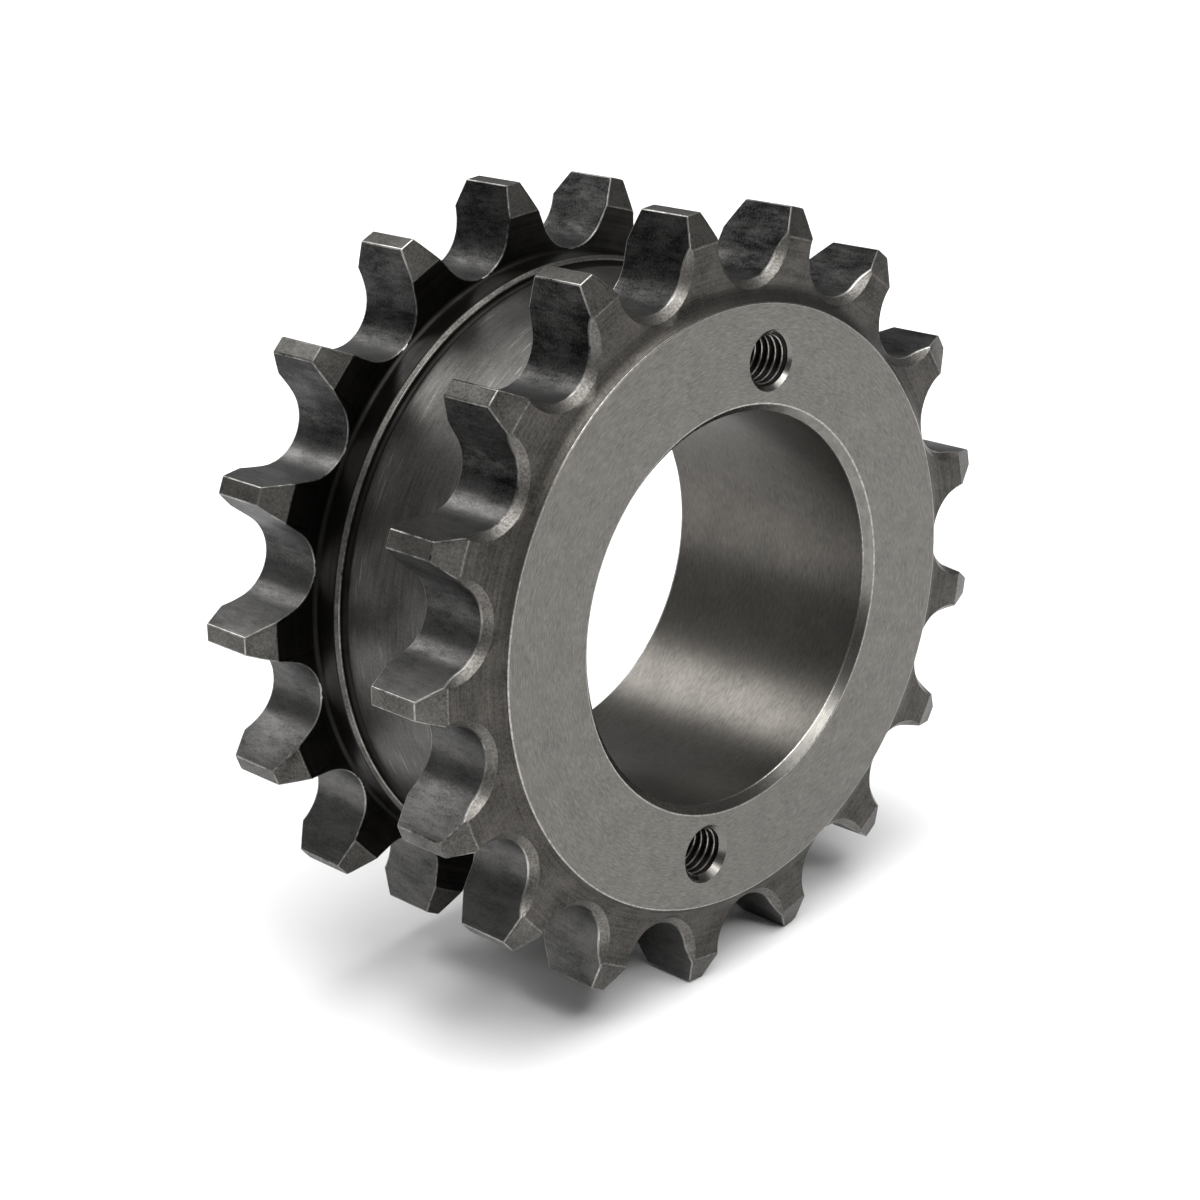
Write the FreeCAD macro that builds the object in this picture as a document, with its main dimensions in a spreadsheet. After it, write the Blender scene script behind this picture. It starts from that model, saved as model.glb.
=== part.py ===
import FreeCAD, Part
import Sketcher
import math
import os

# One steel chain sprocket with two rows of teeth, turned and toothed from a single blank, in millimetres.
# The bore runs along Y. The ring face with the two tapped holes lies at Y = 0 and looks towards -Y.
# A tooth of each row points straight up, so the part stands on the two lowest teeth of each row.

SIZES = (
    # the chain: pitch 19.05, roller 11.91, inner width 12.57
    ("chain_pitch", 19.05),
    ("tooth_count", 17),
    ("tooth_width", 11.9),
    ("row_distance", 35.0),
    # tooth form
    ("seat_radius", 6.1),
    ("seat_angle", 125.0),
    ("flank_radius", 80.0),
    ("tip_height", 4.16),
    ("tip_facet_height", 4.1),
    ("tip_facet_width", 1.7),
    ("gap_chamfer", 1.1),
    # ring face and the relief between it and the teeth
    ("ring_margin", 2.7),
    ("side_relief", 1.6),
    ("relief_run", 3.0),
    # bore, and the recess behind it
    ("bore_diameter", 56.0),
    ("bore_chamfer", 1.2),
    ("recess_depth", 9.5),
    ("recess_wall", 5.7),
    ("recess_chamfer", 0.6),
    # hub between the rows, with its shoulder under the rear teeth
    ("hub_drop", 2.0),
    ("hub_corner", 0.8),
    ("shoulder_drop", 0.5),
    ("shoulder_length", 4.5),
    ("shoulder_corner", 0.5),
    ("shoulder_chamfer", 0.6),
    # tapped holes
    ("hole_count", 2),
    ("hole_circle_diameter", 70.2),
    ("hole_tooth_steps", 0.75),
    ("tap_drill_diameter", 6.8),
    ("countersink_diameter", 8.6),
    ("hole_depth", 20.0),
    # how far a cutter runs past the metal
    ("cutter_overrun", 2.0),
)

PITCH_RADIUS = "(sheet.chain_pitch / sin(180 / sheet.tooth_count) / 2)"
ROOT_RADIUS = f"({PITCH_RADIUS} - sheet.seat_radius)"
TIP_RADIUS = f"({PITCH_RADIUS} + sheet.tip_height)"
FACET_FOOT = f"({TIP_RADIUS} - sheet.tip_facet_height)"
RING_RADIUS = f"({ROOT_RADIUS} - sheet.ring_margin)"
HUB_RADIUS = f"({ROOT_RADIUS} - sheet.hub_drop)"
SHOULDER_RADIUS = f"({ROOT_RADIUS} - sheet.shoulder_drop)"
RECESS_RADIUS = f"({ROOT_RADIUS} - sheet.recess_wall)"
BORE_RADIUS = "(sheet.bore_diameter / 2)"

FRONT_ROW_BACK = "(sheet.side_relief + sheet.tooth_width)"
REAR_ROW_FRONT = "(sheet.side_relief + sheet.row_distance)"
REAR_FACE = f"({REAR_ROW_FRONT} + sheet.tooth_width)"
SHOULDER_FACE = f"({REAR_ROW_FRONT} - sheet.shoulder_length)"
BORE_END = f"({REAR_FACE} - sheet.recess_depth)"


def write_sheet(doc):
    sheet = doc.addObject("Spreadsheet::Sheet", "sheet")
    for row, (name, size) in enumerate(SIZES, start=1):
        sheet.set(f"A{row}", name)
        sheet.set(f"B{row}", str(size))
        sheet.setAlias(f"B{row}", name)
    doc.recompute()
    return sheet


def new_sketch(body, name, role):
    sketch = body.newObject("Sketcher::SketchObject", name)
    plane = next(item for item in body.Origin.OriginFeatures if item.Role == role)
    sketch.AttachmentSupport = [(plane, "")]
    sketch.MapMode = "FlatFace"
    return sketch


def bind(sketch, kind, places, expression):
    value = sketch.evalExpression(expression)
    index = sketch.addConstraint(Sketcher.Constraint(kind, *places, value))
    sketch.setExpression(f"Constraints[{index}]", expression)


def pin(sketch, geometry, end, across, up):
    """Places one end of a curve at two expressions, measured from the sketch's origin."""
    if across == "0":
        sketch.addConstraint(Sketcher.Constraint("PointOnObject", geometry, end, -2))
    else:
        bind(sketch, "DistanceX", (-1, 1, geometry, end), across)
    bind(sketch, "DistanceY", (-1, 1, geometry, end), up)


def point(sketch, across, up):
    return FreeCAD.Vector(sketch.evalExpression(across), sketch.evalExpression(up), 0)


def draw_section(body):
    """Half section of the turned blank: distance along the bore across, radius up."""
    tooth_foot = f"({RING_RADIUS} + sheet.relief_run)"
    facet = "sheet.tip_facet_width"
    corners = (
        ("sheet.side_relief", tooth_foot),
        ("sheet.side_relief", FACET_FOOT),
        (f"sheet.side_relief + {facet}", TIP_RADIUS),
        (f"{FRONT_ROW_BACK} - {facet}", TIP_RADIUS),
        (FRONT_ROW_BACK, FACET_FOOT),
        (FRONT_ROW_BACK, HUB_RADIUS),
        (SHOULDER_FACE, HUB_RADIUS),
        (SHOULDER_FACE, SHOULDER_RADIUS),
        (REAR_ROW_FRONT, SHOULDER_RADIUS),
        (REAR_ROW_FRONT, FACET_FOOT),
        (f"{REAR_ROW_FRONT} + {facet}", TIP_RADIUS),
        (f"{REAR_FACE} - {facet}", TIP_RADIUS),
        (REAR_FACE, FACET_FOOT),
        (REAR_FACE, RECESS_RADIUS),
        (BORE_END, RECESS_RADIUS),
        (BORE_END, BORE_RADIUS),
        ("0", BORE_RADIUS),
        ("0", RING_RADIUS),
    )
    sketch = new_sketch(body, "section", "YZ_Plane")
    places = [point(sketch, *corner) for corner in corners]
    for number, (start, end) in enumerate(zip(places, places[1:])):
        sketch.addGeometry(Part.LineSegment(start, end))
        if number:
            sketch.addConstraint(Sketcher.Constraint("Coincident", number - 1, 2, number, 1))
        pin(sketch, number, 1, *corners[number])
    last_line = len(places) - 2
    pin(sketch, last_line, 2, *corners[-1])

    # the hollow arc that leads from the ring face down to the tooth side
    run = sketch.evalExpression("sheet.relief_run")
    depth = sketch.evalExpression("sheet.side_relief")
    radius = (run ** 2 + depth ** 2) / (2 * depth)
    centre = places[0] - FreeCAD.Vector(radius, 0, 0)
    sweep = math.asin(run / radius)
    circle = Part.Circle(centre, FreeCAD.Vector(0, 0, 1), radius)
    arc = sketch.addGeometry(Part.ArcOfCircle(circle, -sweep, 0))
    sketch.addConstraint(Sketcher.Constraint("Coincident", arc, 1, last_line, 2))
    sketch.addConstraint(Sketcher.Constraint("Tangent", arc, 2, 0, 1))
    return sketch


def turn_blank(doc, body):
    sketch = draw_section(body)
    blank = body.newObject("PartDesign::Revolution", "blank")
    blank.Profile = sketch
    blank.ReferenceAxis = (sketch, ["H_Axis"])
    blank.Angle = 360
    doc.recompute()
    return blank


def turned_edges(feature, circles):
    """Names of the whole-circle edges that lie at the given pairs of distance along the bore and radius."""
    names = []
    for number, edge in enumerate(feature.Shape.Edges, start=1):
        if not isinstance(edge.Curve, Part.Circle) or not edge.isClosed():
            continue
        for along, radius in circles:
            if math.isclose(edge.Curve.Center.y, along, abs_tol=1e-4) and \
                    math.isclose(edge.Curve.Radius, radius, abs_tol=1e-4):
                names.append(f"Edge{number}")
    return names


def dress(doc, body, base, name, size, circles):
    """Breaks turned edges of the blank, or fills its hollow corners, by one size of the sheet."""
    values = [(base.evalExpression(along), base.evalExpression(radius)) for along, radius in circles]
    feature = body.newObject("PartDesign::Chamfer", name)
    feature.Base = (base, turned_edges(base, values))
    feature.setExpression("Size", f"sheet.{size}")
    doc.recompute()
    return feature


def dress_blank(doc, body, blank):
    bore = dress(doc, body, blank, "bore_edges", "bore_chamfer", (("0", BORE_RADIUS), (BORE_END, BORE_RADIUS)))
    mouth = dress(doc, body, bore, "recess_edge", "recess_chamfer", ((REAR_FACE, RECESS_RADIUS),))
    shoulder = dress(doc, body, mouth, "shoulder_edge", "shoulder_chamfer", ((SHOULDER_FACE, SHOULDER_RADIUS),))
    hub = dress(doc, body, shoulder, "hub_corner", "hub_corner", ((FRONT_ROW_BACK, HUB_RADIUS),))
    return dress(doc, body, hub, "shoulder_corners", "shoulder_corner",
                 ((SHOULDER_FACE, HUB_RADIUS), (REAR_ROW_FRONT, SHOULDER_RADIUS)))


def draw_gap(body):
    """One tooth gap, straight under the bore: the roller seat and two convex flanks that open outwards."""
    sketch = new_sketch(body, "gap", "XZ_Plane")
    pitch_radius = sketch.evalExpression(PITCH_RADIUS)
    tip_radius = sketch.evalExpression(TIP_RADIUS)
    seat = sketch.evalExpression("sheet.seat_radius")
    flank = sketch.evalExpression("sheet.flank_radius")
    half_seat = math.radians(sketch.evalExpression("sheet.seat_angle")) / 2
    side = math.pi / 2 - half_seat
    normal = FreeCAD.Vector(0, 0, 1)

    tip_circle = sketch.addGeometry(Part.Circle(FreeCAD.Vector(0, 0, 0), normal, tip_radius), True)
    sketch.addConstraint(Sketcher.Constraint("Coincident", tip_circle, 3, -1, 1))
    bind(sketch, "Radius", (tip_circle,), TIP_RADIUS)

    seat_circle = Part.Circle(FreeCAD.Vector(0, -pitch_radius, 0), normal, seat)
    seat_arc = sketch.addGeometry(Part.ArcOfCircle(seat_circle, side, math.pi - side))
    sketch.addConstraint(Sketcher.Constraint("PointOnObject", seat_arc, 3, -2))
    bind(sketch, "DistanceY", (-1, 1, seat_arc, 3), f"-{PITCH_RADIUS}")
    bind(sketch, "Radius", (seat_arc,), "sheet.seat_radius")
    bind(sketch, "DistanceX", (-1, 1, seat_arc, 1), "sheet.seat_radius * sin(sheet.seat_angle / 2)")
    sketch.addConstraint(Sketcher.Constraint("Horizontal", seat_arc, 1, seat_arc, 2))

    across = (flank + seat) * math.cos(side)
    up = (flank + seat) * math.sin(side) - pitch_radius
    tip_turn = math.asin((-tip_radius - up) / flank)
    right_circle = Part.Circle(FreeCAD.Vector(across, up, 0), normal, flank)
    left_circle = Part.Circle(FreeCAD.Vector(-across, up, 0), normal, flank)
    right = sketch.addGeometry(Part.ArcOfCircle(right_circle, math.pi + side, math.pi - tip_turn))
    left = sketch.addGeometry(Part.ArcOfCircle(left_circle, tip_turn, -side))
    for arc, seat_end, arc_seat_end, arc_tip_end in ((right, 1, 1, 2), (left, 2, 2, 1)):
        sketch.addConstraint(Sketcher.Constraint("Tangent", seat_arc, seat_end, arc, arc_seat_end))
        bind(sketch, "Radius", (arc,), "sheet.flank_radius")
        sketch.addConstraint(Sketcher.Constraint("PointOnObject", arc, arc_tip_end, tip_circle))

    half_mouth = across - flank * math.cos(tip_turn)
    tip_depth = -tip_radius
    mouth_depth = tip_depth - sketch.evalExpression("sheet.cutter_overrun")
    mouth = [FreeCAD.Vector(x, y, 0) for x, y in (
        (half_mouth, tip_depth), (half_mouth, mouth_depth), (-half_mouth, mouth_depth), (-half_mouth, tip_depth))]
    wall_right, closing, wall_left = (
        sketch.addGeometry(Part.LineSegment(start, end)) for start, end in zip(mouth, mouth[1:]))
    for first, last in (((right, 2), (wall_right, 1)), ((wall_right, 2), (closing, 1)),
                        ((closing, 2), (wall_left, 1)), ((wall_left, 2), (left, 1))):
        sketch.addConstraint(Sketcher.Constraint("Coincident", *first, *last))
    sketch.addConstraint(Sketcher.Constraint("Vertical", wall_right))
    sketch.addConstraint(Sketcher.Constraint("Vertical", wall_left))
    sketch.addConstraint(Sketcher.Constraint("Horizontal", closing))
    bind(sketch, "DistanceY", (-1, 1, closing, 1), f"-({TIP_RADIUS} + sheet.cutter_overrun)")
    return sketch


def gap_cone(body, name, start, height, radius_front, radius_back):
    """Cutter that breaks the edge of the roller seat, as a cone round the roller's own axis."""
    cone = body.newObject("PartDesign::SubtractiveCone", name)
    plane = next(item for item in body.Origin.OriginFeatures if item.Role == "XZ_Plane")
    cone.AttachmentSupport = [(plane, "")]
    cone.MapMode = "FlatFace"
    cone.setExpression(".AttachmentOffset.Base.y", f"-{PITCH_RADIUS}")
    cone.setExpression(".AttachmentOffset.Base.z", f"-({start} + {height})")
    cone.setExpression("Height", height)
    cone.setExpression("Radius1", radius_back)
    cone.setExpression("Radius2", radius_front)
    return cone


def around_bore(doc, body, name, original, count):
    pattern = body.newObject("PartDesign::PolarPattern", name)
    pattern.Originals = [original]
    axis = next(item for item in body.Origin.OriginFeatures if item.Role == "Y_Axis")
    pattern.Axis = (axis, [""])
    pattern.Angle = 360
    pattern.setExpression("Occurrences", f"sheet.{count}")
    body.Tip = pattern
    doc.recompute()
    return pattern


def cut_teeth(doc, body):
    """Both rows are cut in one pass, so their teeth stand in line."""
    gap = body.newObject("PartDesign::Pocket", "tooth_gap")
    gap.Profile = draw_gap(body)
    gap.setExpression("Length", f"{REAR_FACE} + sheet.cutter_overrun")
    doc.recompute()
    return around_bore(doc, body, "teeth", gap, "tooth_count")


def break_seat_edges(doc, body):
    """The outer edges of the roller seats are broken on the front of one row and the back of the other."""
    front_depth = "(sheet.side_relief + sheet.gap_chamfer)"
    front = gap_cone(body, "front_seat_edge", "0", front_depth,
                     f"sheet.seat_radius + {front_depth}", "sheet.seat_radius")
    doc.recompute()
    front_edges = around_bore(doc, body, "front_seat_edges", front, "tooth_count")
    rear = gap_cone(body, "rear_seat_edge", f"({REAR_FACE} - sheet.gap_chamfer)", "sheet.gap_chamfer",
                    "sheet.seat_radius", "sheet.seat_radius + sheet.gap_chamfer")
    doc.recompute()
    rear_edges = around_bore(doc, body, "rear_seat_edges", rear, "tooth_count")
    return front_edges, rear_edges


def drill_holes(doc, body):
    """Tap drill and countersink of the threaded holes, on the ring face."""
    sketch = new_sketch(body, "hole_centre", "XZ_Plane")
    turn = "(360 / sheet.tooth_count * sheet.hole_tooth_steps)"
    across = f"sheet.hole_circle_diameter / 2 * sin{turn}"
    up = f"sheet.hole_circle_diameter / 2 * cos{turn}"
    radius = sketch.evalExpression("sheet.tap_drill_diameter / 2")
    circle = sketch.addGeometry(Part.Circle(point(sketch, across, up), FreeCAD.Vector(0, 0, 1), radius))
    pin(sketch, circle, 3, across, up)
    bind(sketch, "Radius", (circle,), "sheet.tap_drill_diameter / 2")
    doc.recompute()
    hole = body.newObject("PartDesign::Hole", "tapped_hole")
    hole.Profile = sketch
    doc.recompute()
    hole.ThreadType = "None"
    hole.DepthType = "Dimension"
    hole.DrillPoint = "Angled"
    hole.HoleCutType = "Countersink"
    hole.HoleCutCountersinkAngle = 90
    hole.setExpression("Diameter", "sheet.tap_drill_diameter")
    hole.setExpression("HoleCutDiameter", "sheet.countersink_diameter")
    hole.setExpression("Depth", "sheet.hole_depth")
    doc.recompute()
    return around_bore(doc, body, "tapped_holes", hole, "hole_count")


def check(doc, steps):
    """Stops before anything is written if a feature failed, or if a cut took nothing away."""
    for item in doc.Objects:
        if {"Invalid", "Error"} & set(item.State):
            raise RuntimeError(f"{item.Name} failed: {item.State}")
    for before, after in zip(steps, steps[1:]):
        print(f"{after.Name}: {before.Shape.Volume:.1f} to {after.Shape.Volume:.1f}")
        if math.isclose(before.Shape.Volume, after.Shape.Volume, rel_tol=1e-7):
            raise RuntimeError(f"{after.Name} changed nothing")
    shape = steps[-1].Shape
    if shape.isNull() or not shape.isValid() or len(shape.Solids) != 1:
        raise RuntimeError("the sprocket isn't one valid solid")


def main():
    doc = FreeCAD.newDocument("chain_sprocket")
    write_sheet(doc)
    body = doc.addObject("PartDesign::Body", "sprocket")
    body.Label = "sprocket"
    blank = turn_blank(doc, body)
    dressed = dress_blank(doc, body, blank)
    teeth = cut_teeth(doc, body)
    seat_edges = break_seat_edges(doc, body)
    holes = drill_holes(doc, body)
    check(doc, (blank, dressed, teeth, *seat_edges, holes))
    os.makedirs("parts", exist_ok=True)
    body.Shape.exportStep(f"parts/{body.Label}.step")
    box = body.Shape.BoundBox
    print(f"{body.Label}: {box.XLength:.2f} x {box.YLength:.2f} x {box.ZLength:.2f}, volume {body.Shape.Volume:.0f}")


main()
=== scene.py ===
import bpy
import bmesh
import math
from mathutils import Matrix, Vector


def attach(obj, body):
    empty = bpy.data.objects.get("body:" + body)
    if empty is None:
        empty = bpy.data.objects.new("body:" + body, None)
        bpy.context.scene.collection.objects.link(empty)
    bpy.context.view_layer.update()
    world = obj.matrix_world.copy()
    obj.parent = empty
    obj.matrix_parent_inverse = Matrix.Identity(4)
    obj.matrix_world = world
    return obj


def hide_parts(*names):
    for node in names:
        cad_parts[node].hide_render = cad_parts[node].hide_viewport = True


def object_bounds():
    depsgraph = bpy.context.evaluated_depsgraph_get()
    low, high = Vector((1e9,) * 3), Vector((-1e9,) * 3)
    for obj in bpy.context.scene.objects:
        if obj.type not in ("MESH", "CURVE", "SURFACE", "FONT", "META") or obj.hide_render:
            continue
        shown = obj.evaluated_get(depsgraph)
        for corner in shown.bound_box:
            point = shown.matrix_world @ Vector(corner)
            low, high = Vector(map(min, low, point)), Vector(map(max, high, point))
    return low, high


# A two-row chain sprocket of machined carbon steel, standing on its teeth on a white studio floor.
# Lengths are in millimetres and become metres through MM.
# The bore runs along Y and its ring face lies at Y = 0.

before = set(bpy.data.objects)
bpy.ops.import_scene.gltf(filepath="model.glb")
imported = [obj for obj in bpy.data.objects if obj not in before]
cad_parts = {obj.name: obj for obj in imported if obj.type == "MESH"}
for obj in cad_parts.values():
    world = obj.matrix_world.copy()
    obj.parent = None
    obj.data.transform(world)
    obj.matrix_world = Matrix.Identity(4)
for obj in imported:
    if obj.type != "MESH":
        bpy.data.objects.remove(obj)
cad_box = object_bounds()

MM = 0.001

# chain and tooth form
CHAIN_PITCH = 19.05
TEETH = 17
TOOTH_WIDTH = 11.9
ROW_DISTANCE = 35.0
SEAT_RADIUS = 6.1
SEAT_ANGLE = math.radians(125)
FLANK_RADIUS = 80.0
TIP_HEIGHT = 4.16
FACET_HEIGHT = 4.1
FACET_WIDTH = 1.7
SEAT_EDGE = 1.1

# turned form
RING_MARGIN = 2.7
SIDE_RELIEF = 1.6
RELIEF_RUN = 3.0
BORE_RADIUS = 28.0
BORE_CHAMFER = 1.2
RECESS_DEPTH = 9.5
RECESS_WALL = 5.7
RECESS_CHAMFER = 0.6
HUB_DROP = 2.0
HUB_CORNER = 1.2
SHOULDER_DROP = 0.5
SHOULDER_LENGTH = 4.5
SHOULDER_CORNER = 0.7
SHOULDER_CHAMFER = 0.6

# tapped holes, M8 by 1.25
HOLE_CIRCLE_RADIUS = 35.1
HOLE_TOOTH_STEPS = 0.75
DRILL_RADIUS = 3.4
COUNTERSINK_RADIUS = 4.3
HOLE_DEPTH = 20.0
THREAD_PITCH = 1.25
THREAD_RADIUS = 4.0
THREAD_TURNS = 15
THREAD_START = -0.3
THREAD_FLAT = 0.12
CREST_WIDTH = 0.04
CREST_STRIP = 0.12
DRILL_POINT = math.radians(59)

# places worked out from the sizes
TOOTH_TURN = 2 * math.pi / TEETH
PITCH_RADIUS = CHAIN_PITCH / math.sin(math.pi / TEETH) / 2
ROOT_RADIUS = PITCH_RADIUS - SEAT_RADIUS
TIP_RADIUS = PITCH_RADIUS + TIP_HEIGHT
FACET_FOOT = TIP_RADIUS - FACET_HEIGHT
RING_RADIUS = ROOT_RADIUS - RING_MARGIN
HUB_RADIUS = ROOT_RADIUS - HUB_DROP
SHOULDER_RADIUS = ROOT_RADIUS - SHOULDER_DROP
RECESS_RADIUS = ROOT_RADIUS - RECESS_WALL
FRONT_ROW_BACK = SIDE_RELIEF + TOOTH_WIDTH
REAR_ROW_FRONT = SIDE_RELIEF + ROW_DISTANCE
REAR_FACE = REAR_ROW_FRONT + TOOTH_WIDTH
SHOULDER_FACE = REAR_ROW_FRONT - SHOULDER_LENGTH
BORE_END = REAR_FACE - RECESS_DEPTH

# how finely round forms are divided
SPIN_STEPS = TEETH * 40
SEAT_STEP = math.radians(5)
FLANK_STEPS = 10
RELIEF_STEPS = 12
DRILL_STEPS = 96
THREAD_STEPS = 56
SMOOTH_ANGLE = math.radians(32)

# how far edges are broken, and how far the cutters reach past what they cut
TURNED_BREAK = 0.14
CUT_BREAK = 0.17
OVERRUN = 2.0
CONE_OVERRUN = 0.4
DRILL_OVERRUN = 0.5
TAP_OVERRUN = 0.15

# points closer than these become one: in each new form, before the deburring, and at the end
WELD = 0.001
WELD_SLIVERS = 0.004
WELD_LAST = 0.002

# how far a point or the middle of a face may lie from a form and still belong to it
HAIR = 0.01
NEAR = 0.05
CONE_REACH = 0.06
CLOSE = 0.1
ROUND_REACH = 0.13
AROUND = 0.3

# the share of a face's normal that runs along the bore: in a wall, a slant, a 45 degree cone and a flat side
WALL = 0.02
SLANT = 0.3
CONE = (0.6, 0.8)
FLAT = 0.98

# the share that points away from the bore, on a tooth tip
OUTWARD = 0.9


def pick_only(thing):
    """Selects this object and nothing else, and makes it the active one."""
    bpy.ops.object.select_all(action="DESELECT")
    thing.select_set(True)
    bpy.context.view_layer.objects.active = thing


def pick_vertices(thing, test):
    """In edit mode, selects the vertices whose place in millimetres passes the test."""
    bpy.ops.mesh.select_mode(type="VERT")
    bpy.ops.mesh.select_all(action="DESELECT")
    mesh = bmesh.from_edit_mesh(thing.data)
    for vertex in mesh.verts:
        vertex.select = test(vertex.co / MM)
    mesh.select_flush(True)
    bmesh.update_edit_mesh(thing.data)


def weld(gap):
    """In edit mode, joins all points that lie within gap millimetres."""
    bpy.ops.mesh.select_all(action="SELECT")
    bpy.ops.mesh.remove_doubles(threshold=gap * MM)


def face_outwards():
    """In edit mode, turns all faces so that they look out of the solid."""
    bpy.ops.mesh.select_all(action="SELECT")
    bpy.ops.mesh.normals_make_consistent(inside=False)


def draw_outline(name, places):
    """One vertex, extruded from place to place and joined to its start, left in edit mode."""
    bpy.ops.object.select_all(action="DESELECT")
    bpy.ops.mesh.primitive_circle_add(vertices=3, radius=MM)
    thing = bpy.context.object
    thing.name = name
    bpy.ops.object.mode_set(mode="EDIT")
    bpy.ops.mesh.select_all(action="SELECT")
    bpy.ops.mesh.merge(type="CENTER")
    bpy.ops.transform.translate(value=places[0] * MM)
    for start, end in zip(places, places[1:] + places[:1]):
        bpy.ops.mesh.extrude_region_move(TRANSFORM_OT_translate={"value": (end - start) * MM})
    weld(WELD)
    return thing


def spin_round(steps):
    """Turns the selected outline once round the Y axis and closes it."""
    bpy.ops.mesh.spin(steps=steps, angle=2 * math.pi, center=(0, 0, 0), axis=(0, 1, 0))
    weld(WELD)
    face_outwards()


def copy_round(count):
    """Copies all of the piece in edit mode round the bore, evenly spaced."""
    bpy.ops.mesh.select_all(action="SELECT")
    bpy.ops.mesh.spin(steps=count - 1, angle=2 * math.pi * (count - 1) / count, dupli=True,
                      center=(0, 0, 0), axis=(0, 1, 0))


def cut_away(body, cutter):
    """Cuts the tool's form out of the body and throws the tool away."""
    bpy.ops.object.mode_set(mode="OBJECT")
    pick_only(body)
    cut = body.modifiers.new("cut", "BOOLEAN")
    cut.operation = "DIFFERENCE"
    cut.solver = "MANIFOLD"
    cut.object = cutter
    bpy.ops.object.modifier_apply(modifier=cut.name)
    bpy.data.objects.remove(cutter)


def section_corners():
    """Half section of the turned blank, as pairs of distance along the bore and radius."""
    return (
        (SIDE_RELIEF, FACET_FOOT),
        (SIDE_RELIEF + FACET_WIDTH, TIP_RADIUS),
        (FRONT_ROW_BACK - FACET_WIDTH, TIP_RADIUS),
        (FRONT_ROW_BACK, FACET_FOOT),
        (FRONT_ROW_BACK, HUB_RADIUS),
        (SHOULDER_FACE, HUB_RADIUS),
        (SHOULDER_FACE, SHOULDER_RADIUS - SHOULDER_CHAMFER),
        (SHOULDER_FACE + SHOULDER_CHAMFER, SHOULDER_RADIUS),
        (REAR_ROW_FRONT, SHOULDER_RADIUS),
        (REAR_ROW_FRONT, FACET_FOOT),
        (REAR_ROW_FRONT + FACET_WIDTH, TIP_RADIUS),
        (REAR_FACE - FACET_WIDTH, TIP_RADIUS),
        (REAR_FACE, FACET_FOOT),
        (REAR_FACE, RECESS_RADIUS + RECESS_CHAMFER),
        (REAR_FACE - RECESS_CHAMFER, RECESS_RADIUS),
        (BORE_END, RECESS_RADIUS),
        (BORE_END, BORE_RADIUS + BORE_CHAMFER),
        (BORE_END - BORE_CHAMFER, BORE_RADIUS),
        (BORE_CHAMFER, BORE_RADIUS),
        (0, BORE_RADIUS + BORE_CHAMFER),
        (0, RING_RADIUS),
    )


def relief_places():
    """The hollow arc from the edge of the ring face down to the side of the teeth."""
    radius = (RELIEF_RUN ** 2 + SIDE_RELIEF ** 2) / (2 * SIDE_RELIEF)
    sweep = math.asin(RELIEF_RUN / radius)
    centre_along = SIDE_RELIEF - radius
    centre_up = RING_RADIUS + RELIEF_RUN
    for step in range(1, RELIEF_STEPS + 1):
        turn = sweep * (1 - step / RELIEF_STEPS)
        yield centre_along + radius * math.cos(turn), centre_up - radius * math.sin(turn)


def near_corner(along, up, corners, reach):
    """Whether a point of the half section lies within reach of one of the corners."""
    return any(math.hypot(along - a, up - u) < reach for a, u in corners)


def turn_blank():
    corners = section_corners()
    outline = corners + tuple(relief_places())
    blank = draw_outline("sprocket_steel", [Vector((0, along, up)) for along, up in outline])

    # the tool leaves a round in the three hollow corners of the groove, and every other corner is just broken
    hub = ((FRONT_ROW_BACK, HUB_RADIUS),)
    shoulder = ((SHOULDER_FACE, HUB_RADIUS), (REAR_ROW_FRONT, SHOULDER_RADIUS))
    sharp = [corner for corner in corners if corner not in hub + shoulder]
    breaks = ((hub, HUB_CORNER, 6), (shoulder, SHOULDER_CORNER, 6), (sharp, TURNED_BREAK, 3))
    for picked, size, segments in breaks:
        pick_vertices(blank, lambda place: near_corner(place.y, place.z, picked, HAIR))
        bpy.ops.mesh.bevel(offset=size * MM, segments=segments, affect="VERTICES")

    bpy.ops.mesh.select_all(action="SELECT")
    spin_round(SPIN_STEPS)
    bpy.ops.object.mode_set(mode="OBJECT")
    return blank


def circle_place(across, up, radius, turn):
    """A point on a circle in the plane that the gap cutter starts from."""
    return Vector((across + radius * math.cos(turn), -OVERRUN, up + radius * math.sin(turn)))


def gap_places():
    """Outline of the tooth gap straight under the bore: roller seat, two flanks and the open mouth."""
    side = math.pi / 2 - SEAT_ANGLE / 2
    seat = [circle_place(0, -PITCH_RADIUS, SEAT_RADIUS, side + step * SEAT_STEP)
            for step in range(round(SEAT_ANGLE / SEAT_STEP) + 1)]
    across = (FLANK_RADIUS + SEAT_RADIUS) * math.cos(side)
    up = (FLANK_RADIUS + SEAT_RADIUS) * math.sin(side) - PITCH_RADIUS
    reach = math.hypot(across, up)
    to_bore = math.atan2(-up, -across)
    opening = math.acos((reach ** 2 + FLANK_RADIUS ** 2 - TIP_RADIUS ** 2) / (2 * reach * FLANK_RADIUS))
    tip_turn = (to_bore + opening) % (2 * math.pi)
    foot_turn = math.pi + side
    flank = [circle_place(across, up, FLANK_RADIUS, foot_turn + (tip_turn - foot_turn) * step / FLANK_STEPS)
             for step in range(1, FLANK_STEPS + 1)]
    mouth = Vector((flank[-1].x, -OVERRUN, -TIP_RADIUS - OVERRUN))
    right = [mouth] + flank[::-1]
    left = [Vector((-place.x, place.y, place.z)) for place in reversed(right)]
    return right + seat + left


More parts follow.
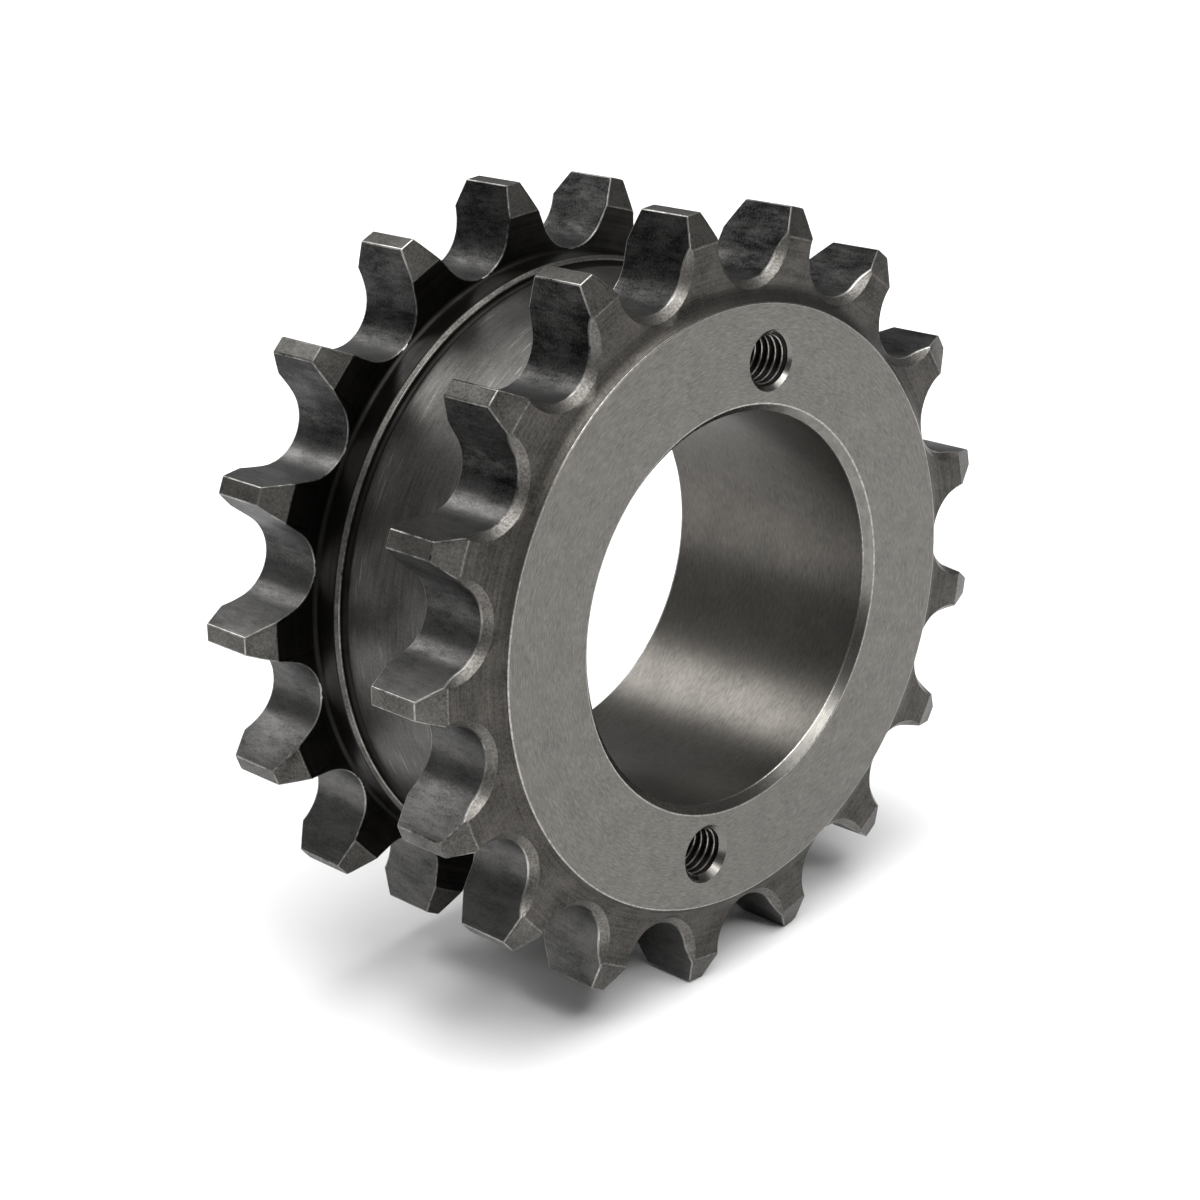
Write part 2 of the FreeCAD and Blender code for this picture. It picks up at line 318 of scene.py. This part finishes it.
def cut_gaps(blank):
    """Both rows are cut in one pass, so their teeth stand in line."""
    cutter = draw_outline("gap_cutter", gap_places())
    bpy.ops.mesh.edge_face_add()
    bpy.ops.mesh.extrude_region_move(TRANSFORM_OT_translate={"value": (0, (REAR_FACE + 2 * OVERRUN) * MM, 0)})
    face_outwards()
    copy_round(TEETH)
    cut_away(blank, cutter)


def seat_cutter(name, slope):
    """A cone round the roller's own axis, from points on its slope as distance along the bore and radius."""
    outline = ((slope[0][0], 0), *slope, (slope[-1][0], 0))
    cutter = draw_outline(name, [Vector((0, along, up)) for along, up in outline])
    spin_round(round(2 * math.pi / SEAT_STEP))
    bpy.ops.transform.rotate(value=SEAT_STEP / 2, orient_axis="Y", center_override=(0, 0, 0))
    bpy.ops.transform.translate(value=(0, 0, -PITCH_RADIUS * MM))
    copy_round(TEETH)
    return cutter


def break_seats(blank):
    """The roller seats are chamfered on the outer sides of both rows."""
    past = CONE_OVERRUN
    depth = SIDE_RELIEF + SEAT_EDGE
    front_slope = ((-past, SEAT_RADIUS + depth + past),
                   (SIDE_RELIEF, SEAT_RADIUS + SEAT_EDGE),
                   (depth + past, SEAT_RADIUS - past))
    rear_slope = ((REAR_FACE - SEAT_EDGE - past, SEAT_RADIUS - past),
                  (REAR_FACE + past, SEAT_RADIUS + SEAT_EDGE + past))
    cut_away(blank, seat_cutter("front_seat_cutter", front_slope))
    cut_away(blank, seat_cutter("rear_seat_cutter", rear_slope))


def pick_rim(thing, finish):
    """In edit mode, selects the edges round the faces of one finish."""
    bpy.ops.mesh.select_mode(type="FACE")
    bpy.ops.mesh.select_all(action="DESELECT")
    thing.active_material_index = finish
    bpy.ops.object.material_slot_select()
    bpy.ops.mesh.region_to_loop()


def break_cut_edges(blank):
    """Deburrs every edge that the gap cutter left."""
    pick_only(blank)
    bpy.ops.object.mode_set(mode="EDIT")
    weld(WELD_SLIVERS)
    pick_rim(blank, GAP)
    bpy.ops.transform.edge_bevelweight(value=1)
    bpy.ops.object.mode_set(mode="OBJECT")
    deburr = blank.modifiers.new("deburr", "BEVEL")
    deburr.width = CUT_BREAK * MM
    deburr.segments = 2
    deburr.limit_method = "WEIGHT"
    deburr.use_clamp_overlap = False
    deburr.material = EDGE
    bpy.ops.object.modifier_apply(modifier=deburr.name)


def hole_centre():
    turn = TOOTH_TURN * HOLE_TOOTH_STEPS
    return Vector((HOLE_CIRCLE_RADIUS * math.sin(turn), 0, HOLE_CIRCLE_RADIUS * math.cos(turn)))


def drill_holes(blank):
    """Drill, countersink and drill point, as one turned tool for each hole."""
    past = DRILL_OVERRUN
    sink_depth = COUNTERSINK_RADIUS - DRILL_RADIUS
    point_depth = DRILL_RADIUS / math.tan(DRILL_POINT)
    outline = ((-past, 0), (-past, COUNTERSINK_RADIUS + past), (sink_depth, DRILL_RADIUS),
               (HOLE_DEPTH, DRILL_RADIUS), (HOLE_DEPTH + point_depth, 0))
    drill = draw_outline("drill", [Vector((0, along, up)) for along, up in outline])
    spin_round(DRILL_STEPS)
    bpy.ops.transform.translate(value=hole_centre() * MM)
    copy_round(2)
    cut_away(blank, drill)


def cut_threads(blank):
    """The thread of each hole, as a wedge wound in a helix. A narrow strip of it next to the crest shines."""
    root = DRILL_RADIUS - TAP_OVERRUN
    start = THREAD_START
    base = THREAD_PITCH - CREST_WIDTH
    run = (base - THREAD_FLAT) / 2
    strip = run * (DRILL_RADIUS + CREST_STRIP - root) / (THREAD_RADIUS - root)
    wedge = ((start, root), (start + strip, DRILL_RADIUS + CREST_STRIP), (start + run, THREAD_RADIUS),
             (start + run + THREAD_FLAT, THREAD_RADIUS), (start + base - strip, DRILL_RADIUS + CREST_STRIP),
             (start + base, root))
    tap = draw_outline("tap", [Vector((0, along, up)) for along, up in wedge])
    bpy.ops.object.mode_set(mode="OBJECT")
    pick_only(tap)
    winding = tap.modifiers.new("winding", "SCREW")
    winding.axis = "Y"
    winding.steps = THREAD_STEPS
    winding.render_steps = THREAD_STEPS
    winding.screw_offset = THREAD_PITCH * MM
    winding.iterations = THREAD_TURNS
    winding.use_smooth_shade = False
    bpy.ops.object.modifier_apply(modifier=winding.name)
    bpy.ops.object.mode_set(mode="EDIT")
    weld(WELD)
    bpy.ops.mesh.select_all(action="SELECT")
    bpy.ops.mesh.fill_holes(sides=0)
    face_outwards()
    bpy.ops.transform.translate(value=hole_centre() * MM)
    copy_round(2)
    cut_away(blank, tap)


def tidy_mesh(thing):
    pick_only(thing)
    bpy.ops.object.mode_set(mode="EDIT")
    weld(WELD_LAST)
    face_outwards()
    # a chamfer with soft rims would shade like a bead
    for finish in (BAND, MOUTH):
        pick_rim(thing, finish)
        bpy.ops.mesh.mark_sharp()
    bpy.ops.object.mode_set(mode="OBJECT")
    bpy.ops.object.shade_smooth_by_angle(angle=SMOOTH_ANGLE, keep_sharp_edges=True)
    # wide faces stay flat up to the narrow rounds along their edges
    flat = thing.modifiers.new("flat_faces", "WEIGHTED_NORMAL")
    flat.mode = "FACE_AREA"
    flat.weight = 100
    flat.keep_sharp = True
    bpy.ops.object.modifier_apply(modifier=flat.name)


def linear(colour):
    """A #rrggbb colour as the linear numbers that shaders take."""
    shares = [int(colour[start:start + 2], 16) / 255 for start in (1, 3, 5)]
    bright = [share / 12.92 if share <= 0.04045 else ((share + 0.055) / 1.055) ** 2.4 for share in shares]
    return (*bright, 1)


def add_node(tree, kind, inputs=(), **settings):
    """Adds a node, sets its options, and sets or links its inputs by name or number."""
    node = tree.nodes.new(kind)
    for name, value in settings.items():
        setattr(node, name, value)
    for name, value in dict(inputs).items():
        if isinstance(value, bpy.types.NodeSocket):
            tree.links.new(value, node.inputs[name])
        else:
            node.inputs[name].default_value = value
    return node


def new_material(name):
    material = bpy.data.materials.new(name)
    material.use_nodes = True
    material.node_tree.nodes.clear()
    return material, material.node_tree


def object_mm(tree):
    """The place on the object in millimetres."""
    place = add_node(tree, "ShaderNodeTexCoord").outputs["Object"]
    scaled = add_node(tree, "ShaderNodeVectorMath", {0: place, "Scale": 1 / MM}, operation="SCALE")
    return scaled.outputs["Vector"]


def turning_marks(tree, place, spacing, drift):
    """Lines round the bore: they change every spacing mm across the cut, and drift slowly along it.

    Real marks lie about 0.1 mm apart, too fine to show in the picture, so they are drawn coarser.
    Length along the bore counts for less than radius, or else a 45 degree chamfer would have no lines.
    """
    split = add_node(tree, "ShaderNodeSeparateXYZ", {"Vector": place})
    level = add_node(tree, "ShaderNodeVectorMath", {0: place, 1: (1, 0, 1)}, operation="MULTIPLY")
    flat = level.outputs["Vector"]
    radius = add_node(tree, "ShaderNodeVectorMath", {0: flat}, operation="LENGTH")
    across = add_node(tree, "ShaderNodeMath", {0: split.outputs["Y"], 1: 0.6, 2: radius.outputs["Value"]},
                      operation="MULTIPLY_ADD")
    lines = add_node(tree, "ShaderNodeMath", {0: across.outputs["Value"], 1: 1 / spacing},
                     operation="MULTIPLY")
    way = add_node(tree, "ShaderNodeVectorMath", {0: flat}, operation="NORMALIZE")
    slow = add_node(tree, "ShaderNodeVectorMath", {0: way.outputs["Vector"], "Scale": drift},
                    operation="SCALE")
    ends = add_node(tree, "ShaderNodeSeparateXYZ", {"Vector": slow.outputs["Vector"]})
    vector = add_node(tree, "ShaderNodeCombineXYZ", {"X": ends.outputs["X"], "Y": lines.outputs["Value"],
                                                     "Z": ends.outputs["Z"]})
    noise = add_node(tree, "ShaderNodeTexNoise", {"Vector": vector.outputs["Vector"], "Scale": 1.0,
                                                  "Detail": 3.0, "Roughness": 0.6})
    return noise.outputs["Fac"]


def speckle(tree, place, size, detail=3.0, stretch=(1, 1, 1)):
    """Soft noise whose patches are size mm across, squeezed along the axes by stretch."""
    squeezed = add_node(tree, "ShaderNodeVectorMath", {0: place, 1: stretch}, operation="MULTIPLY")
    noise = add_node(tree, "ShaderNodeTexNoise", {"Vector": squeezed.outputs["Vector"], "Scale": 1 / size,
                                                  "Detail": detail, "Roughness": 0.6})
    return noise.outputs["Fac"]


def one_flank_painted_shade(tree, place):
    """Across a tooth gap: 0 on the flank painted with shade, 1 on the other flank, the same way round in
    every gap.
    """
    split = add_node(tree, "ShaderNodeSeparateXYZ", {"Vector": place})
    down = add_node(tree, "ShaderNodeMath", {0: split.outputs["Z"], 1: -1.0}, operation="MULTIPLY")
    turn = add_node(tree, "ShaderNodeMath", {0: split.outputs["X"], 1: down.outputs["Value"]},
                    operation="ARCTAN2")
    gaps = add_node(tree, "ShaderNodeMath", {0: turn.outputs["Value"], 1: 1 / TOOTH_TURN, 2: 0.5},
                    operation="MULTIPLY_ADD")
    across = add_node(tree, "ShaderNodeMath", {0: gaps.outputs["Value"]}, operation="FRACT")
    share = add_node(tree, "ShaderNodeMapRange", {"Value": across.outputs["Value"], "From Min": 0.34,
                                                  "From Max": 0.62})
    return share.outputs["Result"]


def scratches(tree, place, spacing, drift):
    """The few deepest of the turning marks, as thin separate lines that fade in and out."""
    lines = turning_marks(tree, place, spacing, drift)
    worn = speckle(tree, place, 9.0, 1.0)
    deep = add_node(tree, "ShaderNodeMapRange", {"Value": lines, "From Min": 0.58, "From Max": 0.66})
    here = add_node(tree, "ShaderNodeMapRange", {"Value": worn, "From Min": 0.48, "From Max": 0.60})
    both = add_node(tree, "ShaderNodeMath", {0: deep.outputs["Result"], 1: here.outputs["Result"]},
                    operation="MULTIPLY")
    return both.outputs["Value"]


def weigh(tree, parts):
    """Adds up noises, each counted from its middle and times its own weight, on top of 0.5."""
    total = 0.5 - 0.5 * sum(weight for _, weight in parts)
    for noise, weight in parts:
        total = add_node(tree, "ShaderNodeMath", {0: noise, 1: weight, 2: total},
                         operation="MULTIPLY_ADD").outputs["Value"]
    return total


def finish_steel(name, dark, light, roughness, spread, relief, patterns):
    """Steel whose colour, gloss and fine relief in mm all follow one sum of patterns.

    Each pattern is a row with its weight, its function and that function's sizes.
    """
    material, tree = new_material(name)
    place = object_mm(tree)
    parts = [(make(tree, place, *sizes), weight) for weight, make, *sizes in patterns]
    share = weigh(tree, parts)
    colour = add_node(tree, "ShaderNodeMix", {"Factor": share, "A": linear(dark), "B": linear(light)},
                      data_type="RGBA")
    gloss = add_node(tree, "ShaderNodeMapRange", {"Value": share, "To Min": roughness + spread,
                                                  "To Max": roughness - spread})
    bump = add_node(tree, "ShaderNodeBump", {"Height": share, "Distance": relief * MM, "Strength": 1.0})
    shader = add_node(tree, "ShaderNodeBsdfPrincipled", {
        "Base Color": colour.outputs["Result"], "Metallic": 1.0, "Roughness": gloss.outputs["Result"],
        "Normal": bump.outputs["Normal"]})
    add_node(tree, "ShaderNodeOutputMaterial", {"Surface": shader.outputs["BSDF"]})
    return material


def faced_ring():
    """Carbon steel, finely face-turned: satin grey with short faint marks round the bore and soft patches."""
    return finish_steel("faced_ring", "#53514e", "#85837e", 0.46, 0.04, 0.004, (
        (1.4, turning_marks, 0.16, 34.0),
        (0.6, speckle, 0.2, 2.0),
        (0.4, speckle, 3.5)))


def turned_mouth():
    """The mouth of the bore and the countersinks, cut with a sharp tool: grey as the ring, but they flash."""
    return finish_steel("turned_mouth", "#55534f", "#8d8b86", 0.27, 0.04, 0.003, (
        (0.8, turning_marks, 0.2, 20.0),
        (0.4, speckle, 3.5)))


def dark_side():
    """The sides of the teeth, turned, then darkened by hardening: nearly black, with rubbed turning marks."""
    return finish_steel("dark_side", "#262523", "#5c5955", 0.46, 0.06, 0.012, (
        (0.8, turning_marks, 0.35, 4.0),
        (1.0, speckle, 5.0),
        (0.9, speckle, 0.35, 2.0)))


def oxide_painted_shade():
    """The walls of the groove between the rows and the flanks of the threads: black oxide, painted near black
    as the shade that falls deep in the groove and the holes.
    """
    return finish_steel("oxide_painted_shade", "#0b0b0a", "#2b2927", 0.46, 0.06, 0.008, (
        (1.4, turning_marks, 0.6, 2.0),
        (1.0, speckle, 4.0)))


def milled_gap():
    """The roller seats and flanks, milled and hardened: dark, glossy and grainy, with painted shade on one
    flank of each gap.
    """
    return finish_steel("milled_gap", "#0b0b0b", "#565554", 0.44, 0.07, 0.012, (
        (0.5, one_flank_painted_shade),
        (0.8, speckle, 7.0, 1.0),
        (0.7, speckle, 2.4, 3.0, (1, 0.2, 1)),
        (0.8, speckle, 0.8, 3.0, (1, 0.3, 1)),
        (0.9, speckle, 0.3, 2.0)))


def rubbed_facet():
    """Tooth tips and their facets, rubbed a little lighter than the sides, with a coarse pitted grain."""
    return finish_steel("rubbed_facet", "#2f2e2c", "#6a6864", 0.48, 0.06, 0.02, (
        (1.4, speckle, 0.35, 3.0),
        (1.2, speckle, 5.0)))


def worn_chamfer():
    """The chamfer round each roller seat, where the chain has worn a brighter, grainy band."""
    return finish_steel("worn_chamfer", "#3a3836", "#83807b", 0.44, 0.06, 0.015, (
        (1.5, speckle, 0.35, 3.0),
        (0.8, speckle, 4.0)))


def turned_groove():
    """The hub between the rows, rough turned: dark steel with long marks round it."""
    return finish_steel("turned_groove", "#2f2e2c", "#787673", 0.40, 0.06, 0.015, (
        (0.4, turning_marks, 0.25, 9.0),
        (0.5, scratches, 0.22, 7.0),
        (0.6, speckle, 9.0, 2.0),
        (0.4, speckle, 0.35, 2.0)))


def bored_wall():
    """The bore, finely bored and left bright: even grey with very fine marks round it."""
    return finish_steel("bored_wall", "#363432", "#706d68", 0.32, 0.05, 0.008, (
        (0.8, turning_marks, 0.16, 24.0),
        (0.4, speckle, 6.0)))


def bright_edge():
    """Edges that are worn through to bare steel in places, and still dark in others."""
    return finish_steel("bright_edge", "#1e1d1c", "#b0aeaa", 0.38, 0.06, 0.01, (
        (2.4, speckle, 14.0, 3.0),
        (1.0, speckle, 0.8, 2.0)))


def fresh_cut():
    """Corners of the ring face and crests of the threads: bare steel, the brightest lines on the part."""
    return finish_steel("fresh_cut", "#6a6864", "#b8b5b0", 0.30, 0.05, 0.004, (
        (2.0, speckle, 0.6, 3.0),))


FINISHES = (dark_side, faced_ring, milled_gap, rubbed_facet, turned_groove, bored_wall,
            bright_edge, fresh_cut, oxide_painted_shade, worn_chamfer, turned_mouth)
DARK, RING, GAP, RUBBED, GROOVE, BORED, EDGE, FRESH, OXIDE_PAINTED_SHADE, BAND, MOUTH = range(len(FINISHES))


def give_finishes(thing):
    """One material slot for each way that the surfaces were made, in the order of the numbers above."""
    for make in FINISHES:
        thing.data.materials.append(make())


def on_seat_chamfer(place, normal):
    """Whether a face lies on a cone round the nearest roller's axis."""
    turn = math.atan2(place.x, -place.z)
    turn -= TOOTH_TURN * round(turn / TOOTH_TURN)
    radius = math.hypot(place.x, place.z)
    from_roller = math.hypot(radius * math.sin(turn), radius * math.cos(turn) - PITCH_RADIUS)
    depth = max(SIDE_RELIEF + SEAT_EDGE - place.y, place.y - REAR_FACE + SEAT_EDGE)
    slanted = CONE[0] < abs(normal.y) < CONE[1]
    return slanted and abs(from_roller - SEAT_RADIUS - depth) < CONE_REACH and depth < SEAT_EDGE + HAIR


def finish_at(place, normal):
    """Which finish a face has, from its middle in millimetres and the way it looks."""
    radius = math.hypot(place.x, place.z)
    along = place.y
    outward = (normal.x * place.x + normal.z * place.z) / radius
    if on_seat_chamfer(place, normal):
        return BAND
    shoulder_edge = SHOULDER_FACE + SHOULDER_CHAMFER
    on_shoulder = SHOULDER_FACE + CLOSE < along < shoulder_edge + 2 * CLOSE
    if on_shoulder and radius > SHOULDER_RADIUS - SHOULDER_CHAMFER:
        # the back of the shoulder's chamfer, deep in the groove, gets painted shade
        return RUBBED if along < shoulder_edge - CLOSE else OXIDE_PAINTED_SHADE
    if near_corner(along, radius, section_corners(), ROUND_REACH):
        if abs(radius - FACET_FOOT) < AROUND:
            return BAND
        return FRESH if along < 2 * BORE_CHAMFER and radius < RING_RADIUS + AROUND else EDGE
    if along < BORE_END and radius < BORE_RADIUS + NEAR:
        return BORED
    if radius < RING_RADIUS + NEAR and along < 2 * BORE_CHAMFER:
        in_mouth = radius < BORE_RADIUS + BORE_CHAMFER and along < BORE_CHAMFER
        return MOUTH if in_mouth and normal.y > -FLAT else RING
    if radius < RECESS_RADIUS + RECESS_CHAMFER and along > BORE_END - BORE_CHAMFER:
        return GROOVE
    if radius > TIP_RADIUS - CLOSE and outward > OUTWARD:
        return RUBBED
    if abs(normal.y) < WALL and radius > SHOULDER_RADIUS + AROUND:
        return GAP
    if FRONT_ROW_BACK - HAIR < along < REAR_ROW_FRONT + HAIR:
        on_hub = FRONT_ROW_BACK + NEAR < along < SHOULDER_FACE - SHOULDER_CORNER
        # the groove's walls get painted shade near black; only the hub keeps its turned finish
        return GROOVE if on_hub and radius < HUB_RADIUS + CLOSE else OXIDE_PAINTED_SHADE
    if SLANT < abs(normal.y) < FLAT and radius > FACET_FOOT:
        return RUBBED
    return DARK


def sort_finishes(thing):
    for face in thing.data.polygons:
        face.material_index = finish_at(face.center / MM, face.normal)


def sort_threads(thing):
    """The threads' crests are bright, their flanks get painted shade, and the countersinks cut like the
    bore's mouth.
    """
    centre = hole_centre()
    for face in thing.data.polygons:
        place = face.center / MM
        for side in (1, -1):
            reach = math.hypot(place.x - side * centre.x, place.z - side * centre.z)
            if reach < COUNTERSINK_RADIUS - 2 * HAIR and WELD < place.y < HOLE_DEPTH + DRILL_RADIUS:
                in_sink = abs(reach + place.y - COUNTERSINK_RADIUS) < NEAR
                on_crest = reach < DRILL_RADIUS + CREST_STRIP and place.y < HOLE_DEPTH
                face.material_index = MOUTH if in_sink else FRESH if on_crest else OXIDE_PAINTED_SHADE


def build_piece():
    steel = turn_blank()
    give_finishes(steel)
    cut_gaps(steel)
    break_seats(steel)
    drill_holes(steel)
    cut_threads(steel)
    sort_finishes(steel)
    sort_threads(steel)
    break_cut_edges(steel)
    tidy_mesh(steel)
    return steel


steel = build_piece()
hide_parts("sprocket")
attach(steel, "root")

# the photograph's camera: its direction from the bore's centre, roll, then distance and aim in wheel radii
WHEEL_RADIUS = 56.0
VIEW_AZIMUTH = math.radians(-42.6366)
VIEW_ELEVATION = math.radians(22.4653)
VIEW_ROLL = math.radians(-4.9529)
VIEW_DISTANCE = 6.4318
AIM_RIGHT = -0.3412
AIM_UP = 0.0297
FOCAL_PIXELS = 2601.902
PHOTO_PIXELS = 1200
SENSOR_WIDTH = 36.0

# in metres
NEAREST_SEEN = 0.01
FLOOR_SIZE = 6.0


def place_camera():
    level = math.cos(VIEW_ELEVATION)
    back = Vector((math.sin(VIEW_AZIMUTH) * level, -math.cos(VIEW_AZIMUTH) * level, math.sin(VIEW_ELEVATION)))
    right = Vector((math.cos(VIEW_AZIMUTH), math.sin(VIEW_AZIMUTH), 0))
    up = back.cross(right)
    rolled_right = right * math.cos(VIEW_ROLL) + up * math.sin(VIEW_ROLL)
    rolled_up = up * math.cos(VIEW_ROLL) - right * math.sin(VIEW_ROLL)
    place = (rolled_right * AIM_RIGHT + rolled_up * AIM_UP + back * VIEW_DISTANCE) * WHEEL_RADIUS * MM
    turn = Matrix((rolled_right, rolled_up, back)).transposed().to_4x4()
    lens = bpy.data.cameras.new("camera")
    lens.sensor_fit = "HORIZONTAL"
    lens.sensor_width = SENSOR_WIDTH
    lens.lens = FOCAL_PIXELS / PHOTO_PIXELS * SENSOR_WIDTH
    lens.clip_start = NEAREST_SEEN
    camera = bpy.data.objects.new("camera", lens)
    camera.matrix_world = Matrix.Translation(place) @ turn
    bpy.context.scene.collection.objects.link(camera)
    bpy.context.scene.camera = camera


def lay_floor():
    bpy.ops.object.select_all(action="DESELECT")
    bpy.ops.mesh.primitive_plane_add(size=FLOOR_SIZE, location=(0, 0, cad_box[0][2]))
    floor = bpy.context.object
    floor.name = "floor"
    material, tree = new_material("white_paper")
    paper = add_node(tree, "ShaderNodeBsdfPrincipled", {"Base Color": linear("#f6f6f6"), "Roughness": 0.9})
    add_node(tree, "ShaderNodeOutputMaterial", {"Surface": paper.outputs["BSDF"]})
    floor.data.materials.append(material)


def hang_light(light, place):
    """Puts a light at a place in metres, looking at the bore's centre."""
    lamp = bpy.data.objects.new(light.name, light)
    lamp.location = place
    lamp.rotation_euler = (-Vector(place)).to_track_quat("-Z", "Y").to_euler()
    bpy.context.scene.collection.objects.link(lamp)


def hang_ceiling(name, place, spread, strength):
    """A light so large and far away that the paper is evenly lit, and its shadows are soft."""
    light = bpy.data.lights.new(name, "SUN")
    light.angle = spread
    light.energy = strength
    hang_light(light, place)


def hang_softbox(name, place, size, power):
    light = bpy.data.lights.new(name, "AREA")
    light.shape = "DISK"
    light.size = size
    light.energy = power
    hang_light(light, place)


def light_room():
    """The room is brighter behind the part than in front of it."""
    world = bpy.data.worlds.new("studio")
    world.use_nodes = True
    tree = world.node_tree
    tree.nodes.clear()
    way = add_node(tree, "ShaderNodeTexCoord").outputs["Generated"]
    depth = add_node(tree, "ShaderNodeSeparateXYZ", {"Vector": way}).outputs["Y"]
    glow = add_node(tree, "ShaderNodeMapRange", {"Value": depth, "From Min": -0.5, "From Max": 0.7,
                                                 "To Min": 0.12, "To Max": 0.42},
                    interpolation_type="SMOOTHSTEP")
    sky = add_node(tree, "ShaderNodeBackground", {"Color": linear("#ffffff"),
                                                  "Strength": glow.outputs["Result"]})
    add_node(tree, "ShaderNodeOutputWorld", {"Surface": sky.outputs["Background"]})
    bpy.context.scene.world = world


place_camera()
lay_floor()
hang_ceiling("ceiling", (-0.05, -0.30, 1.0), math.radians(55), 3.5)
hang_softbox("back_softbox", (-0.10, 1.0, 0.95), 0.65, 6.0)
hang_softbox("front_softbox", (-0.25, -1.0, 1.04), 0.3, 3.6)
hang_softbox("low_softbox", (0.35, -1.15, 0.28), 0.35, 1.2)
light_room()
bpy.context.scene.view_settings.view_transform = "Standard"
